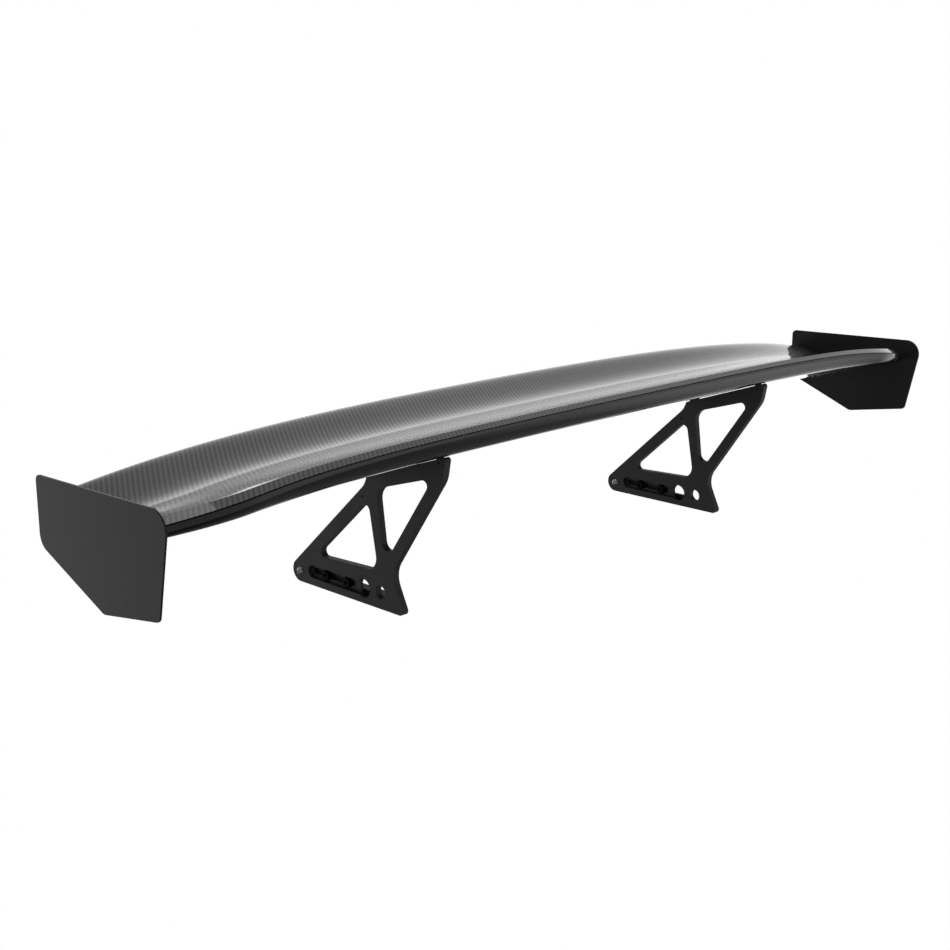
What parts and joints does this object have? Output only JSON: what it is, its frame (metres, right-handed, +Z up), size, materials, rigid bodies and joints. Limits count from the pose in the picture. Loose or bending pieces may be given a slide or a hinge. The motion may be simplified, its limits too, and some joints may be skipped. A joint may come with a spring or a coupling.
{
  "type": "racing rear wing",
  "caption": "Carbon rear wing with drooped tips and flat end plates on two triangulated uprights, with fore-aft base slots and an incidence pivot.",
  "frame": {"origin": "middle of the overall box, at the underside of the base brackets", "axes": "+X across the car along the span, +Y towards the front of the car, +Z up"},
  "size_m": [1.55, 0.3392, 0.2585],
  "materials": {
    "carbon_gloss": "clear-coated 2x2 twill carbon fibre laminate",
    "carbon_plain": "uncoated carbon fibre laminate",
    "foam": "closed-cell structural foam",
    "bronze": "sintered bronze",
    "black_anodised": "satin black anodised",
    "black_steel": "black oxide",
    "zinc_steel": "bright zinc plated"
  },
  "bodies": {
    "base": {"left_bracket": "black_anodised", "right_bracket": "black_anodised", "clamp_bolts": "black_steel", "clamp_washers": "black_steel", "clamp_nuts": "zinc_steel"},
    "left_stand": {"left_upright": "black_anodised", "left_pivot_pin": "black_steel", "left_adjuster_bolt": "black_steel", "left_foot_screw": "zinc_steel", "left_foot_nut": "zinc_steel"},
    "right_stand": {"right_upright": "black_anodised", "right_pivot_pin": "black_steel", "right_adjuster_bolt": "black_steel", "right_foot_screw": "zinc_steel", "right_foot_nut": "zinc_steel"},
    "wing": {"wing_upper_skin": "carbon_gloss", "wing_lower_skin": "carbon_gloss", "wing_spar": "carbon_plain", "wing_core": "foam", "mount_ribs": "black_anodised", "tip_ribs": "carbon_plain", "end_plate_left": "carbon_gloss", "end_plate_right": "carbon_gloss", "pivot_bushes": "bronze"}
  },
  "joints": [
    {"name": "left_base_slide", "type": "slide", "parent": "base", "child": "left_stand", "axis": [0, -1, 0], "range_m": [0, 0.02]},
    {"name": "right_base_slide", "type": "slide", "parent": "base", "child": "right_stand", "axis": [0, -1, 0], "range_m": [0, 0.02]},
    {"name": "wing_incidence", "type": "hinge", "parent": "left_stand", "child": "wing", "pos_m": [0, 0.01881, 0.1485], "axis": [-1, 0, 0], "range_deg": [0, 3]}
  ],
  "couplings": [
    {"joint": "right_base_slide", "follows": "left_base_slide", "ratio": 1}
  ]
}
